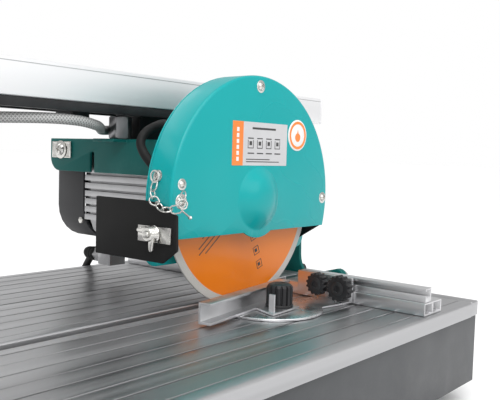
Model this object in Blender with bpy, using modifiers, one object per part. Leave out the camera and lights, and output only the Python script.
"""Bridge wet tile saw: a 200 mm diamond blade hangs under a rail and travels along a slotted table.

Design values are in millimetres, measured from the blade's spindle (X and Z) and from the guard's
front face (Y). +X runs along the rail, +Y points away from the operator and +Z points up. place()
moves a design point into the part's frame, whose origin is the bottom centre of the saw.
"""
import math

import bmesh
import bpy
from mathutils import Matrix, Vector

MM = 0.001
ORIGIN = Vector((-245.0, 58.5, -190.0))   # bottom centre of the saw in design values
GAP = 0.3                                 # clearance between neighbouring solids

# blade, guard and drive
BLADE_R = 100.0
BLADE_Y = (17.1, 18.9)
GUARD_R = 111.3
GUARD_DEPTH = 27.7
GUARD_CHORD_Z = -30.5
BACK_Y = (28.0, 30.0)
BACK_BOTTOM_Z = -56.0
SHEET = 2.0
MOTOR_Y = (34.0, 180.0)
MOTOR_HALF = 58.0
MOTOR_TOP_Z = 46.0
FIN_DEPTH = 7.0
FIN_PITCH = 7.8
FIN_SHARE = 0.7                           # part of the pitch that is metal
MOTOR_LOW_Z = -50.0
BELL_T = 9.0                              # plain end bell between the fins and the fan cover
ROTOR_BORE_R = 42.0
COVER_Y = (180.3, 222.0)
BRACKET_X = 74.0
BRACKET_Z = (18.0, 50.5)
BRACKET_Y = (30.3, 216.8)

# rail, trolley and posts
RAIL_X = (-706.0, 216.0)
RAIL_Y = (80.0, 150.0)
RAIL_Z = (79.5, 109.3)
RAIL_WALL = 3.0
RAIL_SLOT_Y = (100.0, 130.0)
ROLLER_R = 11.0
ROLLER_X = (-125.0, 45.0)
TROLLEY_Y = (107.0, 123.0)
POST_T = 5.0
TILT_Y = 14.0
TILT_Z = -93.0
TILT_DEG = 45.0
LOCK_R = 70.0
LOCK_DEG = -8.0

# table, tray and fence
TABLE_X = (-645.0, 155.0)
TABLE_TOP = -93.0
TABLE_T = 14.0
FRONT_DECK_Y = (-149.0, 10.0)
REAR_DECK_Y = (24.0, 252.0)
END_BEAM = 15.0
TRAY_X = (-648.0, 158.0)
TRAY_Y = (-146.0, 266.0)
TRAY_Z = (-172.0, -107.3)
FOOT_R = 18.0
FLOOR_Z = -190.0
FENCE_X = (48.0, 81.0)
FENCE_WALL = 1.6
GUIDE_X = -26.0
GUIDE_Y = -47.0
BAR_DEG = 9.6

# free cord
CORD_R = 4.0
COIL_R = 45.0
COIL_CENTRE = (68.3, 372.0)
COIL_HALF = 12.5                          # half the width of the wound turns
COIL_HEIGHT = 24.8                        # three layers of turns


def place(x, y, z):
    return (Vector((x, y, z)) - ORIGIN) * MM


def new_collection(name):
    collection = bpy.data.collections.new(name)
    bpy.context.scene.collection.children.link(collection)
    return collection


for leftover in list(bpy.data.objects):
    bpy.data.objects.remove(leftover, do_unlink=True)

PARTS = new_collection("wet_tile_saw")
CUTTERS = new_collection("cutters")


def material(name, colour, roughness, metallic=0.0):
    mat = bpy.data.materials.new(name)
    mat.use_nodes = True
    shader = mat.node_tree.nodes["Principled BSDF"]
    shader.inputs["Base Color"].default_value = (*colour, 1.0)
    shader.inputs["Roughness"].default_value = roughness
    shader.inputs["Metallic"].default_value = metallic
    return mat


ALUMINIUM = material("aluminium", (0.72, 0.73, 0.74), 0.35, 1.0)
CAST = material("cast_aluminium", (0.55, 0.56, 0.57), 0.5, 0.9)
TEAL = material("teal_paint", (0.0, 0.38, 0.37), 0.35)
DARK_TRAY = material("dark_grey_paint", (0.05, 0.055, 0.06), 0.5)
BLACK = material("black_plastic", (0.02, 0.02, 0.022), 0.5)
RUBBER = material("black_rubber", (0.015, 0.015, 0.015), 0.8)
ZINC = material("zinc_steel", (0.7, 0.7, 0.68), 0.3, 1.0)
BLADE_PAINT = material("orange_blade", (0.75, 0.2, 0.01), 0.4)
HOSE_CLEAR = material("braided_hose", (0.6, 0.6, 0.6), 0.5)
GREEN = material("green_button", (0.02, 0.35, 0.06), 0.4)
RED = material("red_button", (0.6, 0.02, 0.02), 0.4)


# ---------------------------------------------------------------- shape helpers
def add_mesh(name, bm, mat, collection=None):
    bmesh.ops.recalc_face_normals(bm, faces=bm.faces)
    mesh = bpy.data.meshes.new(name)
    bm.to_mesh(mesh)
    bm.free()
    obj = bpy.data.objects.new(name, mesh)
    (collection or PARTS).objects.link(obj)
    if mat:
        mesh.materials.append(mat)
    if collection is CUTTERS:
        obj.hide_render = True
        obj.display_type = "WIRE"
    return obj


def box(name, low, high, mat=None, collection=None):
    bm = bmesh.new()
    bmesh.ops.create_cube(bm, size=1.0)
    a, b = place(*low), place(*high)
    size = b - a
    bmesh.ops.scale(bm, vec=size, verts=bm.verts)
    bmesh.ops.translate(bm, vec=(a + b) / 2, verts=bm.verts)
    return add_mesh(name, bm, mat, collection)


def extruded(name, outline, axis, start, end, mat=None, collection=None):
    """outline is a closed list of points across axis, in X, Y, Z order: (y, z), (x, z) or (x, y)."""
    def point(a, b, along):
        return {"X": (along, a, b), "Y": (a, along, b), "Z": (a, b, along)}[axis]

    bm = bmesh.new()
    verts = [bm.verts.new(place(*point(a, b, start))) for a, b in outline]
    face = bm.faces.new(verts)
    made = bmesh.ops.extrude_face_region(bm, geom=[face])["geom"]
    shift = place(*point(0, 0, end)) - place(*point(0, 0, start))
    bmesh.ops.translate(bm, vec=shift, verts=[g for g in made if isinstance(g, bmesh.types.BMVert)])
    return add_mesh(name, bm, mat, collection)


AXIS_TURN = {
    "X": Matrix.Rotation(math.radians(90), 4, "Y"),
    "Y": Matrix.Rotation(math.radians(-90), 4, "X"),
    "Z": Matrix.Identity(4),
}


def turned(name, profile, axis, centre, mat=None, steps=24, collection=None):
    """profile lists (radius, height) from the low end on the axis to the high end; height runs along +axis."""
    bm = bmesh.new()
    verts = [bm.verts.new((r * MM, 0, h * MM)) for r, h in reversed(profile)]
    for a, b in zip(verts, verts[1:]):
        bm.edges.new((a, b))
    obj_mesh = bpy.data.meshes.new(name)
    bm.to_mesh(obj_mesh)
    bm.free()
    obj = bpy.data.objects.new(name, obj_mesh)
    (collection or PARTS).objects.link(obj)
    if mat:
        obj_mesh.materials.append(mat)
    screw = obj.modifiers.new("turn", "SCREW")
    screw.steps = steps
    screw.render_steps = steps
    screw.use_merge_vertices = True
    screw.merge_threshold = 0.00001
    screw.use_smooth_shade = False
    obj.matrix_world = Matrix.Translation(place(*centre)) @ AXIS_TURN[axis]
    if collection is CUTTERS:
        obj.hide_render = True
        obj.display_type = "WIRE"
    return obj


def rod(name, radius, axis, centre, start, end, mat=None, steps=24, collection=None):
    profile = [(0, start), (radius, start), (radius, end), (0, end)]
    return turned(name, profile, axis, centre, mat, steps, collection)


def boolean(obj, other, operation):
    mod = obj.modifiers.new(other.name, "BOOLEAN")
    mod.operation = operation
    mod.object = other
    return obj


def cut(obj, *cutters):
    for cutter in cutters:
        boolean(obj, cutter, "DIFFERENCE")
    return obj


def join(obj, *pieces):
    """Unite helper solids, kept among the cutters, with obj."""
    for piece in pieces:
        boolean(obj, piece, "UNION")
    return obj


def smooth_route(points, spacing):
    """Points every `spacing` millimetres along a Catmull-Rom curve through the route's own points."""
    pts = [Vector(p) for p in points]
    pts = [pts[0] * 2 - pts[1]] + pts + [pts[-1] * 2 - pts[-2]]
    fine = []
    for a, b, c, d in zip(pts, pts[1:], pts[2:], pts[3:]):
        for i in range(40):
            t = i / 40
            fine.append(0.5 * ((2 * b) + (c - a) * t + (2 * a - 5 * b + 4 * c - d) * t ** 2
                               + (3 * b - a - 3 * c + d) * t ** 3))
    fine.append(pts[-2])
    length = sum((q - p).length for p, q in zip(fine, fine[1:]))
    count = max(2, round(length / spacing))
    out, walked, target = [fine[0]], 0.0, length / count
    for p, q in zip(fine, fine[1:]):
        step = (q - p).length
        while walked + step >= target * len(out) and len(out) < count:
            out.append(p.lerp(q, (target * len(out) - walked) / step))
        walked += step
    return out + [fine[-1]]


def tube(name, points, radius, mat, spacing, resolution=2):
    route = smooth_route(points, spacing)
    curve = bpy.data.curves.new(name, "CURVE")
    curve.dimensions = "3D"
    curve.bevel_depth = radius * MM
    curve.bevel_resolution = resolution
    curve.use_fill_caps = True
    spline = curve.splines.new("POLY")
    spline.points.add(len(route) - 1)
    for spline_point, p in zip(spline.points, route):
        spline_point.co = (*place(*p), 1.0)
    curve.materials.append(mat)
    obj = bpy.data.objects.new(name, curve)
    PARTS.objects.link(obj)
    return obj


def arc(cx, cy, radius, start_deg, end_deg, count):
    """count + 1 points along an arc."""
    out = []
    for i in range(count + 1):
        a = math.radians(start_deg + (end_deg - start_deg) * i / count)
        out.append((cx + radius * math.cos(a), cy + radius * math.sin(a)))
    return out


def star(cx, cy, radius, lobes=8, depth=0.14):
    """Outline of a lobed hand knob."""
    count = lobes * 4
    out = []
    for i in range(count):
        a = 2 * math.pi * i / count
        r = radius * (1 - depth / 2 + depth / 2 * math.cos(lobes * a))
        out.append((cx + r * math.cos(a), cy + r * math.sin(a)))
    return out


# ---------------------------------------------------------------- frame: tray, table and fence
def deck_outline(y_low, y_high):
    """Section of a table deck: a grooved skin on ribs, open underneath."""
    skin, rib, pitch, groove, depth = 4.0, 3.0, 38.0, 2.4, 1.4
    top, low = TABLE_TOP, TABLE_TOP - TABLE_T
    count = int((y_high - y_low - rib) // pitch)
    step = (y_high - y_low - rib) / count
    outline = []
    for i in range(count):
        y = y_low + rib + step * (i + 0.5)
        outline += [(y - groove / 2, top), (y - groove / 2, top - depth),
                    (y + groove / 2, top - depth), (y + groove / 2, top)]
    outline = [(y_low, top)] + outline + [(y_high, top), (y_high, low)]
    for i in range(count, 0, -1):
        right, left = y_low + step * i, y_low + step * (i - 1) + rib
        outline += [(right, low), (right, top - skin), (left, top - skin), (left, low)]
    return outline + [(y_low, low)]


def build_table():
    inner_x = (TABLE_X[0] + END_BEAM + GAP, TABLE_X[1] - END_BEAM - GAP)
    extruded("table_front", deck_outline(*FRONT_DECK_Y), "X", *inner_x, ALUMINIUM)
    extruded("table_rear", deck_outline(*REAR_DECK_Y), "X", *inner_x, ALUMINIUM)
    for side, low, high in (("left", TABLE_X[0], TABLE_X[0] + END_BEAM),
                            ("right", TABLE_X[1] - END_BEAM, TABLE_X[1])):
        box("end_beam_" + side, (low, FRONT_DECK_Y[0], TABLE_TOP - TABLE_T),
            (high, REAR_DECK_Y[1], TABLE_TOP), ALUMINIUM)


def build_tray():
    tray = box("water_tray", (TRAY_X[0], TRAY_Y[0], TRAY_Z[0]), (TRAY_X[1], TRAY_Y[1], TRAY_Z[1]), DARK_TRAY)
    hollow = box("tray_hollow", (TRAY_X[0] + SHEET, TRAY_Y[0] + SHEET, TRAY_Z[0] + SHEET),
                 (TRAY_X[1] - SHEET, TRAY_Y[1] - SHEET, TRAY_Z[1] + 10), None, CUTTERS)
    drain = rod("drain_hole", 8, "X", (TRAY_X[0], 200, -158), -1, SHEET + 1, None, 24, CUTTERS)
    cut(tray, hollow, drain)
    turned("drain_plug", [(0, -12), (5, -12), (5, -6), (13, -5), (13, -GAP), (7.4, -GAP), (7.4, 6), (0, 6)],
           "X", (TRAY_X[0], 200, -158), RUBBER)
    feet = {"front_left": (-600, -110), "front_right": (110, -110),
            "rear_left": (-600, 230), "rear_right": (110, 230)}
    for name, (x, y) in feet.items():
        profile = [(0, FLOOR_Z), (FOOT_R - 2, FLOOR_Z), (FOOT_R, FLOOR_Z + 3),
                   (FOOT_R - 4, TRAY_Z[0] - GAP), (0, TRAY_Z[0] - GAP)]
        turned("foot_" + name, profile, "Z", (x, y, 0), RUBBER)


def build_pump():
    low = TRAY_Z[0] + SHEET + GAP
    box("water_pump", (-585, 170, low), (-535, 215, low + 50), BLACK)
    route = [(-585.4, 192, -135), (-600, 192, -134), (-615, 188, -128), (-624, 160, -122),
             (-626, 120, -120), (-626, 80, -120), (-626, 50, -120)]
    tube("pump_hose", route, 4.5, HOSE_CLEAR, 12)


def fence_section(top_z, cell):
    """Two hollow cells side by side, from the table up to top_z."""
    low = TABLE_TOP + GAP
    outline = [(FENCE_X[0], low), (FENCE_X[0], top_z), (FENCE_X[1], top_z), (FENCE_X[1], low)]
    cells = []
    for x in (FENCE_X[0] + FENCE_WALL, FENCE_X[0] + FENCE_WALL * 2 + cell):
        cells.append((x, low + FENCE_WALL, x + cell, top_z - FENCE_WALL))
    return outline, cells


def build_fence():
    cell = (FENCE_X[1] - FENCE_X[0] - 3 * FENCE_WALL) / 2
    spans = {"fence_front": (-145.0, 5.0, -81.5), "fence_rear": (26.0, 236.0, -84.5)}
    for name, (y_low, y_high, top) in spans.items():
        outline, cells = fence_section(top, cell)
        rail = extruded(name, outline, "Y", y_low, y_high, ALUMINIUM)
        for i, (x0, z0, x1, z1) in enumerate(cells):
            cut(rail, box("%s_cell_%d" % (name, i), (x0, y_low - 5, z0), (x1, y_high + 5, z1), None, CUTTERS))
    low = -81.5 + GAP
    rail = box("fence_rail", (49.5, -145, low), (60, -15, -69), ALUMINIUM)
    cut(rail, box("fence_rail_cell", (51, -150, -76.5), (58.5, -10, -70.5), None, CUTTERS),
        box("fence_rail_slot", (40, -150, -75.2), (51.5, -10, -71.8), None, CUTTERS))


def build_angle_stop():
    """Slider clamped on the fence by two star knobs, and the round base that carries the angle bar."""
    box("fence_slider", (44.6, -75, -92), (47.7, -15, -69), ALUMINIUM)
    for side, y, z, radius in (("left", -44, -77, 10.5), ("right", -68, -78, 12)):
        knob = extruded("slider_knob_" + side, star(y, z, radius), "X", 30.5, 40.5, BLACK)
        neck = rod("slider_knob_neck_" + side, 4.5, "X", (0, y, z), 35, 44.3, None, 16, CUTTERS)
        join(knob, neck)
    base_low, base_high = TABLE_TOP + GAP, TABLE_TOP + 2.3
    base = rod("protractor_base", 46, "Z", (GUIDE_X, -37, 0), base_low, base_high, ZINC, 48)
    arm = extruded("protractor_arm", [(-10, -36), (44.3, -36), (44.3, -73), (-10, -65)], "Z",
                   base_low, base_high, None, CUTTERS)
    join(base, arm)
    cut(base, rod("guide_stud_hole", 4.2, "Z", (GUIDE_X, GUIDE_Y, 0), -100, -80, None, 16, CUTTERS))
    build_angle_bar(base_high + GAP)


def build_angle_bar(low):
    """C section open towards the operator, turned by BAR_DEG, with a tongue under the knob and a pointer."""
    top, depth, length, wall = -73.6, 11.0, 132.0, 2.0
    section = [(-depth, low), (0, low), (0, top), (-depth, top), (-depth, top - wall), (-wall, top - wall),
               (-wall, low + wall), (-depth, low + wall)]
    bar = extruded("angle_bar", section, "X", 0, length, ALUMINIUM)
    turn = Matrix.Rotation(math.radians(BAR_DEG), 4, "Z")
    bar.data.transform(Matrix.Translation(place(-116, -38, 0)) @ turn @ Matrix.Translation(-place(0, 0, 0)))
    tongue = [(-44, -34), (-10, -28), (-12, -58), (-54, -62)]
    join(bar, extruded("bar_tongue", tongue, "Z", low + 0.2, low + wall - 0.2, None, CUTTERS),
         box("bar_pointer", (-49.0, -59, low + 0.7), (-47.4, -53.6, -74), None, CUTTERS))
    cut(bar, rod("bar_stud_hole", 4.2, "Z", (GUIDE_X, GUIDE_Y, 0), -100, -80, None, 16, CUTTERS))
    knob_low = low + wall + GAP
    knob = extruded("guide_knob", star(GUIDE_X, GUIDE_Y, 11.0, 12, 0.1), "Z", knob_low, -68.2, BLACK)
    join(knob, rod("guide_knob_stud", 3.6, "Z", (GUIDE_X, GUIDE_Y, 0), TABLE_TOP + GAP, -80, None, 16, CUTTERS))


# ---------------------------------------------------------------- tilting bridge
def lock_point():
    a = math.radians(LOCK_DEG)
    return TILT_Y + LOCK_R * math.cos(a), TILT_Z + LOCK_R * math.sin(a)


def post_outline():
    """Side view of a post: a lock quadrant round the tilt axis and a column up to the rail."""
    quadrant = arc(TILT_Y, TILT_Z, 84, 0, -70, 12)
    boss = arc(TILT_Y, TILT_Z, 9, 200, 70, 6)
    fillet = arc(43, -74, 25, -60, 0, 5)
    column = [(69, -40), (70, 40), (76, RAIL_Z[0] - GAP), (148, RAIL_Z[0] - GAP), (140, 30),
              (122, -30), (106, -70)]
    return boss + fillet + column + quadrant


def lock_slot(x_low, x_high, name):
    half = 4.6
    outer = arc(TILT_Y, TILT_Z, LOCK_R + half, LOCK_DEG + 4, LOCK_DEG - TILT_DEG - 4, 12)
    inner = arc(TILT_Y, TILT_Z, LOCK_R - half, LOCK_DEG - TILT_DEG - 4, LOCK_DEG + 4, 12)
    return extruded(name, outer + inner, "X", x_low, x_high, None, CUTTERS)


def build_bridge_end(side):
    """Fixed bracket, post, pivot bolt and lock knob at one end. out is +1 on the right, -1 on the left."""
    out = 1 if side == "right" else -1
    wall = TRAY_X[1] if side == "right" else TRAY_X[0]
    bracket = (wall + out * GAP, wall + out * 3.3)
    post = (wall + out * 3.6, wall + out * (3.6 + POST_T))
    plate = [(-40, -168), (150, -168), (150, -118), (98, -94.5), (70, -94.5), (58, -106), (26, -97)] \
        + arc(TILT_Y, TILT_Z, 9, 0, 180, 6) + [(-12, -108), (-40, -112)]
    fixed = extruded("tilt_bracket_" + side, plate, "X", *sorted(bracket), TEAL)
    cut(fixed, rod("bracket_pivot_hole_" + side, 4.2, "X", (0, TILT_Y, TILT_Z),
                   min(bracket) - 1, max(bracket) + 1, None, 16, CUTTERS))
    stud_y, stud_z = lock_point()
    join(fixed, rod("lock_stud_" + side, 3.5, "X", (0, stud_y, stud_z),
                    min(bracket[0], post[1] + out * 12), max(bracket[0], post[1] + out * 12), None, 16, CUTTERS))
    swing = extruded("post_" + side, post_outline(), "X", *sorted(post), TEAL)
    cut(swing, lock_slot(min(post) - 1, max(post) + 1, "lock_slot_" + side),
        rod("post_pivot_hole_" + side, 4.2, "X", (0, TILT_Y, TILT_Z), min(post) - 1, max(post) + 1,
            None, 16, CUTTERS))
    head = post[1] + out * GAP
    pivot = rod("pivot_bolt_" + side, 3.8, "X", (0, TILT_Y, TILT_Z), min(bracket[0], head), max(bracket[0], head),
                ZINC, 16)
    join(pivot, rod("pivot_bolt_head_" + side, 7.5, "X", (0, TILT_Y, TILT_Z),
                    min(head, head + out * 5), max(head, head + out * 5), None, 6, CUTTERS))
    ends = sorted((head, head + out * 18))
    knob = extruded("tilt_knob_" + side, star(stud_y, stud_z, 17, 6, 0.2), "X", *ends, BLACK)
    cut(knob, rod("tilt_knob_hole_" + side, 3.8, "X", (0, stud_y, stud_z), min(head, head + out * 12.5) - 1,
                  max(head, head + out * 12.5) + 1, None, 16, CUTTERS))


def build_rail():
    (y0, y1), (z0, z1), w, (s0, s1) = RAIL_Y, RAIL_Z, RAIL_WALL, RAIL_SLOT_Y
    section = [(y0, z0), (y0, z1), (y1, z1), (y1, z0), (s1, z0), (s1, z0 + w), (y1 - w, z0 + w),
               (y1 - w, z1 - w), (y0 + w, z1 - w), (y0 + w, z0 + w), (s0, z0 + w), (s0, z0)]
    cap = 2.5
    extruded("rail_beam", section, "X", RAIL_X[0] + cap + GAP, RAIL_X[1] - cap - GAP, ALUMINIUM)
    box("rail_cap_left", (RAIL_X[0], y0, z0), (RAIL_X[0] + cap, y1, z1), ALUMINIUM)
    box("rail_cap_right", (RAIL_X[1] - cap, y0, z0), (RAIL_X[1], y1, z1), ALUMINIUM)
    skirt = box("rail_skirt", (-645, 143.5, 73.5), (154, 149.5, z0 - GAP), BLACK)
    join(skirt, box("skirt_end", (-645, 82, 74), (-640, 145, z0 - GAP), None, CUTTERS),
         box("skirt_front", (-644, 81, 71.5), (154, 87, z0 - GAP), None, CUTTERS),
         box("hose_clip", (-337, 131, 58), (-325.4, 146, z0 - GAP), None, CUTTERS))


# ---------------------------------------------------------------- head: trolley, bracket, motor and guard
def build_trolley():
    y0, y1 = TROLLEY_Y
    trolley = box("trolley", (-150, y0, RAIL_Z[0] + 0.5), (72, y1, 99), BLACK)
    join(trolley, box("hanger_block_left", (-131, y0 - 4, 64), (-113, y1 + 4, RAIL_Z[0] - 0.2), None, CUTTERS),
         box("hanger_block_mid", (-54, y0 - 4, BRACKET_Z[1] + GAP), (-18, y1 + 4, RAIL_Z[0] - 0.2), None, CUTTERS),
         box("hanger_block_right", (20, y0 - 4, BRACKET_Z[1] + GAP), (50, y1 + 4, RAIL_Z[0] - 0.2), None, CUTTERS))
    for i, (x, half) in enumerate(((-122, 8), (-36, 13), (35, 13))):
        join(trolley, box("hanger_neck_%d" % i, (x - half, y0 + 1, 70), (x + half, y1 - 1, RAIL_Z[0] + 5), None, CUTTERS))
    roller_z = RAIL_Z[0] + RAIL_WALL + ROLLER_R + GAP
    for side, x in zip(("left", "right"), ROLLER_X):
        cut(trolley, rod("axle_hole_" + side, 3.5, "Y", (x, 0, roller_z), y0 - 1, y1 + 1, None, 24, CUTTERS))
        profile = [(0, 85), (ROLLER_R - 1, 85), (ROLLER_R, 86), (ROLLER_R, 97), (ROLLER_R - 1, 98), (3, 98),
                   (3, 132), (ROLLER_R - 1, 132), (ROLLER_R, 133), (ROLLER_R, 144), (ROLLER_R - 1, 145), (0, 145)]
        turned("roller_" + side, profile, "Y", (x, 0, roller_z), BLACK, 32)
    for side, x in (("left", -69.5), ("right", 62)):
        hexagon = extruded("standoff_" + side, arc(x, 113, 10.8, 30, 330, 5), "Z", BRACKET_Z[1] + GAP, 71.5, ZINC)
        join(hexagon, rod("standoff_bolt_" + side, 4.5, "Z", (x, 113, 0), 60, RAIL_Z[0] - GAP, None, 16, CUTTERS))


def build_bracket():
    x, (z0, z1), (y0, y1), t = BRACKET_X, BRACKET_Z, BRACKET_Y, 3.0
    section = [(-x, z0), (-x, z1), (x, z1), (x, z0), (x - t, z0), (x - t, z1 - t), (-x + t, z1 - t), (-x + t, z0)]
    bracket = extruded("head_bracket", section, "Y", y0, y1, TEAL)
    join(bracket, box("bracket_front_flange", (-x + 1, y0, 27), (x - 1, y0 + t, z1 - 1), None, CUTTERS),
         box("bracket_pad_left", (-90, 98, z1 - t), (-x + 1, 128, z1), None, CUTTERS))
    slot = extruded("bracket_slot", [(146, 10), (152, 10)] + arc(149, 35, 3, 0, 180, 8), "X", -80, 80, None, CUTTERS)
    corner = extruded("bracket_corner", [(y1 + 5, z0 - 5)] + [(y1 + 5, z0 + 14)]
                      + arc(y1 - 14, z0 + 14, 14, 0, -90, 8) + [(y1 - 14, z0 - 5)], "X", -80, 80, None, CUTTERS)
    cut(bracket, slot, corner)


def motor_outline():
    """Rounded square with fins down both sides and underneath; the top is the flat mounting pad."""
    half, tip, low = MOTOR_HALF, MOTOR_HALF + FIN_DEPTH, MOTOR_LOW_Z
    tooth = FIN_PITCH * FIN_SHARE
    right = [(half - 12, MOTOR_TOP_Z)]
    count = 7
    for i in range(count):
        z = 20 - FIN_PITCH * i
        right += [(half, z + tooth / 2), (tip, z + tooth / 2), (tip, z - tooth / 2), (half, z - tooth / 2)]
    right += [(half - 4, low + 10), (half - 14, low)]
    under = []
    for i in range(9):
        x = 4 * FIN_PITCH - FIN_PITCH * i
        under += [(x + tooth / 2, low), (x + tooth / 2, low - FIN_DEPTH), (x - tooth / 2, low - FIN_DEPTH),
                  (x - tooth / 2, low)]
    return right + under + [(-x, z) for x, z in reversed(right)]


def build_motor():
    y0, y1 = MOTOR_Y
    motor = extruded("motor_body", motor_outline(), "Y", y0, y1 - BELL_T, CAST)
    bell = extruded("end_bell", cover_outline(5.5), "Y", y1 - BELL_T - 1, y1, None, CUTTERS)
    join(motor, bell, rod("motor_nose", 26, "Y", (0, 0, 0), 30.3, y0 + 2, None, 32, CUTTERS),
         box("cable_gland_body", (-41, 160, -78), (-21, y1 - 1, -44), None, CUTTERS),
         rod("cable_gland_nut", 8.0, "Y", (-31, 0, -70), y1 - 5, y1 + 12, None, 6, CUTTERS))
    cut(motor, rod("rotor_bore", ROTOR_BORE_R, "Y", (0, 0, 0), y0 + 10, y1 + 5, None, 32, CUTTERS),
        rod("shaft_hole", 9.0, "Y", (0, 0, 0), 20, y0 + 20, None, 24, CUTTERS))
    build_fan_cover()


def cover_outline(inset):
    half, r = 60 - inset, 34 - inset
    low, top = -52 + inset, MOTOR_TOP_Z - inset
    return (arc(half - r, low + r, r, 0, -90, 6) + arc(-half + r, low + r, r, -90, -180, 6)
            + [(-half, top - 6), (-half + 6, top), (half - 6, top), (half, top - 6)])


def build_fan_cover():
    y0, y1 = COVER_Y
    cover = extruded("fan_cover", cover_outline(0), "Y", y0, y1, BLACK)
    cut(cover, extruded("fan_cover_hollow", cover_outline(2.5), "Y", y0 - 5, y1 - 2.5, None, CUTTERS))
    for i in range(5):
        x = -28 + 14 * i
        cut(cover, box("fan_vent_%d" % i, (x - 3, y1 - 8, -32), (x + 3, y1 + 5, 26), None, CUTTERS))


def build_rotor():
    turned("blade_flange", [(0, 8.2), (9, 8.2), (9, 13), (24, 14.5), (24, BLADE_Y[0] - GAP), (0, BLADE_Y[0] - GAP)],
           "Y", (0, 0, 0), ZINC, 32)
    turned("blade", [(0, BLADE_Y[0]), (BLADE_R, BLADE_Y[0]), (BLADE_R, BLADE_Y[1]), (0, BLADE_Y[1])],
           "Y", (0, 0, 0), BLADE_PAINT, 64)
    shaft = [(0, BLADE_Y[1] + GAP), (24, BLADE_Y[1] + GAP), (24, 23), (7.5, 24), (7.5, 60), (38, 60), (38, 150),
             (7.5, 150), (7.5, 188), (41, 190), (41, 204), (7.5, 206), (7.5, 212), (0, 212)]
    turned("rotor", shaft, "Y", (0, 0, 0), ZINC, 32)


def guard_back_outline():
    r = GUARD_R
    side = 12
    return (arc(0, 0, r, 0, 180, 36) + [(-r, BACK_BOTTOM_Z + side)]
            + arc(-r + side, BACK_BOTTOM_Z + side, side, 180, 270, 5)[1:]
            + arc(r - side, BACK_BOTTOM_Z + side, side, 270, 360, 5))


def build_guard():
    back = extruded("guard_back", guard_back_outline(), "Y", *BACK_Y, TEAL)
    cut(back, rod("guard_back_hole", 28, "Y", (0, 0, 0), 20, 40, None, 32, CUTTERS))
    r, t = GUARD_R, SHEET
    dome = [(0, -9), (10, -8.6), (19, -6.6), (26, -2.6), (29, 0)]
    inside = [(27, t), (24, -0.4), (17.5, -4.6), (9, -6.6), (0, -7)]
    profile = dome + [(r, 0), (r, GUARD_DEPTH), (r - t, GUARD_DEPTH), (r - t, t)] + inside
    front = turned("guard_front", profile, "Y", (0, 0, 0), TEAL, 64)
    below = box("guard_below", (-130, -20, -130), (130, 40, GUARD_CHORD_Z), None, CUTTERS)
    cut(below, rod("guard_collar_keep", 36, "Y", (0, 0, 0), -21, 5, None, 32, CUTTERS))
    cut(front, below)
    lip = [(2.4, -8), (27.4, -8), (27.4, -46), (2.4, -31)]
    extruded("guard_lip_right", lip, "X", 102.2, 104.4, RUBBER)


def build_splash_flap():
    x = -GUARD_R - GAP
    outline = [(90, 0), (30, 0), (12, -1), (-10, -10), (-11, -38), (5, -49.5), (90, -50)]
    flap = extruded("splash_flap", outline, "X", x - 3, x, RUBBER)
    y, z = 13.0, -26.0
    cut(flap, box("flap_slot", (x - 5, y - 3.6, z - 7.8), (x + 2, y + 3.6, z + 3.6), None, CUTTERS))
    outer = x - 3 - GAP
    clamp = box("flap_clamp", (outer - 2, -6, -33), (outer, 32, -20), ZINC)
    join(clamp, rod("flap_stud", 2.8, "X", (0, y, z), outer - 12, x, None, 16, CUTTERS))
    wing = [(y - 4, z - 5), (y + 4, z - 5), (y + 13, z + 3), (y + 11, z + 8), (y + 4, z + 4), (y - 4, z + 4),
            (y - 11, z + 8), (y - 13, z + 3)]
    nut = extruded("wing_nut", wing, "X", outer - 10, outer - 2 - GAP, ZINC)
    cut(nut, rod("wing_nut_hole", 3.1, "X", (0, y, z), outer - 20, outer, None, 16, CUTTERS))


def build_handle():
    x, y, z = BRACKET_X + GAP, 46.0, 34.0
    arm = rod("handle_arm", 6, "X", (0, y, z), x, 92, TEAL)
    join(arm, rod("handle_collar", 11, "X", (0, y, z), x, x + 4, None, 24, CUTTERS))
    turned("handle_grip", [(0, 92 + GAP), (12, 92 + GAP), (14, 100), (12.6, 124), (14, 144), (13, 152), (0, 152)],
           "X", (0, y, z), RUBBER)


def build_switch():
    x = BRACKET_X + GAP
    box_low, box_high = (x, 92, 2), (x + 24, 150, 50)
    body = box("switch_box", box_low, box_high, BLACK)
    face = x + 24
    for name, y, mat in (("switch_on", 108, GREEN), ("switch_off", 134, RED)):
        cut(body, box(name + "_well", (face - 6, y - 9.4, 14.6), (face + 1, y + 9.4, 37.4), None, CUTTERS))
        box(name, (face - 3, y - 9, 15), (face + 2.5, y + 9, 37), mat)


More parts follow.
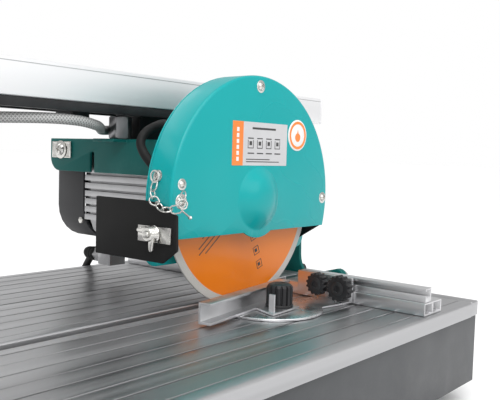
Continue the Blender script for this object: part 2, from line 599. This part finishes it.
# ---------------------------------------------------------------- hoses and the mains cord
def build_hoses():
    feed = [(-38, 102.6, 64), (-39, 92, 65), (-48, 76, 66), (-66, 64, 64), (-84, 60, 57.5), (-92.5, 58, 49),
            (-93.5, 54, 40), (-91, 45, 29), (-85, 38, 19), (-85, 31.4, 18.2)]
    tube("feed_hose", feed, 4.0, RUBBER, 9)
    head = [(-38, 128.6, 60), (-38, 133, 60), (-41.5, 139.5, 60), (-47, 144.3, 60), (-56, 146, 59.5), (-66, 142.5, 59),
            (-76, 133.5, 59), (-86, 121.5, 59.5), (-98.5, 106.5, 60), (-114, 93, 61.5), (-136, 87, 64), (-165, 88, 64.5), (-205, 97, 63), (-248, 117, 61), (-288, 134, 61),
            (-308, 138, 63), (-324.4, 138, 65)]
    tube("head_hose", head, 4.5, HOSE_CLEAR, 12)


CORD_ROUTE = [
    (-31, 192.5, -70), (-31, 206, -70), (-21, 219, -71.5), (-7, 232, -76), (1, 247, -84), (6, 260, -94),
    (9, 271, -106), (11, 278, -123), (12, 282, -142), (12.5, 287, -161), (13, 297, -177), (14, 311, -185),
    (15, 322, -186), (15, 341.6, -186),
]


def build_cord():
    tube("mains_cord", CORD_ROUTE, CORD_R, RUBBER, 12)
    x, y = COIL_CENTRE
    inner, outer, top = COIL_R - COIL_HALF, COIL_R + COIL_HALF, FLOOR_Z + COIL_HEIGHT
    ring = rod("cord_coil", outer, "Z", (x, y, 0), FLOOR_Z, top, RUBBER, 32)
    cut(ring, rod("coil_eye", inner, "Z", (x, y, 0), FLOOR_Z - 5, top + 5, None, 32, CUTTERS))
    profile = [(0, -34), (5, -34), (8, -12), (13, -8), (18.5, -2), (18.5, 22), (0, 22)]
    plug = turned("mains_plug", profile, "X", (x, y, top + GAP + 18.5), BLACK)
    for side in (-9.5, 9.5):
        join(plug, rod("plug_pin_%d" % side, 2.4, "X", (x, y + side, top + GAP + 18.5), 15, 41, None, 12, CUTTERS))


def main():
    build_table()
    build_tray()
    build_pump()
    build_fence()
    build_angle_stop()
    build_bridge_end("left")
    build_bridge_end("right")
    build_rail()
    build_trolley()
    build_bracket()
    build_motor()
    build_rotor()
    build_guard()
    build_splash_flap()
    build_handle()
    build_switch()
    build_hoses()
    build_cord()
    bpy.context.view_layer.update()


main()
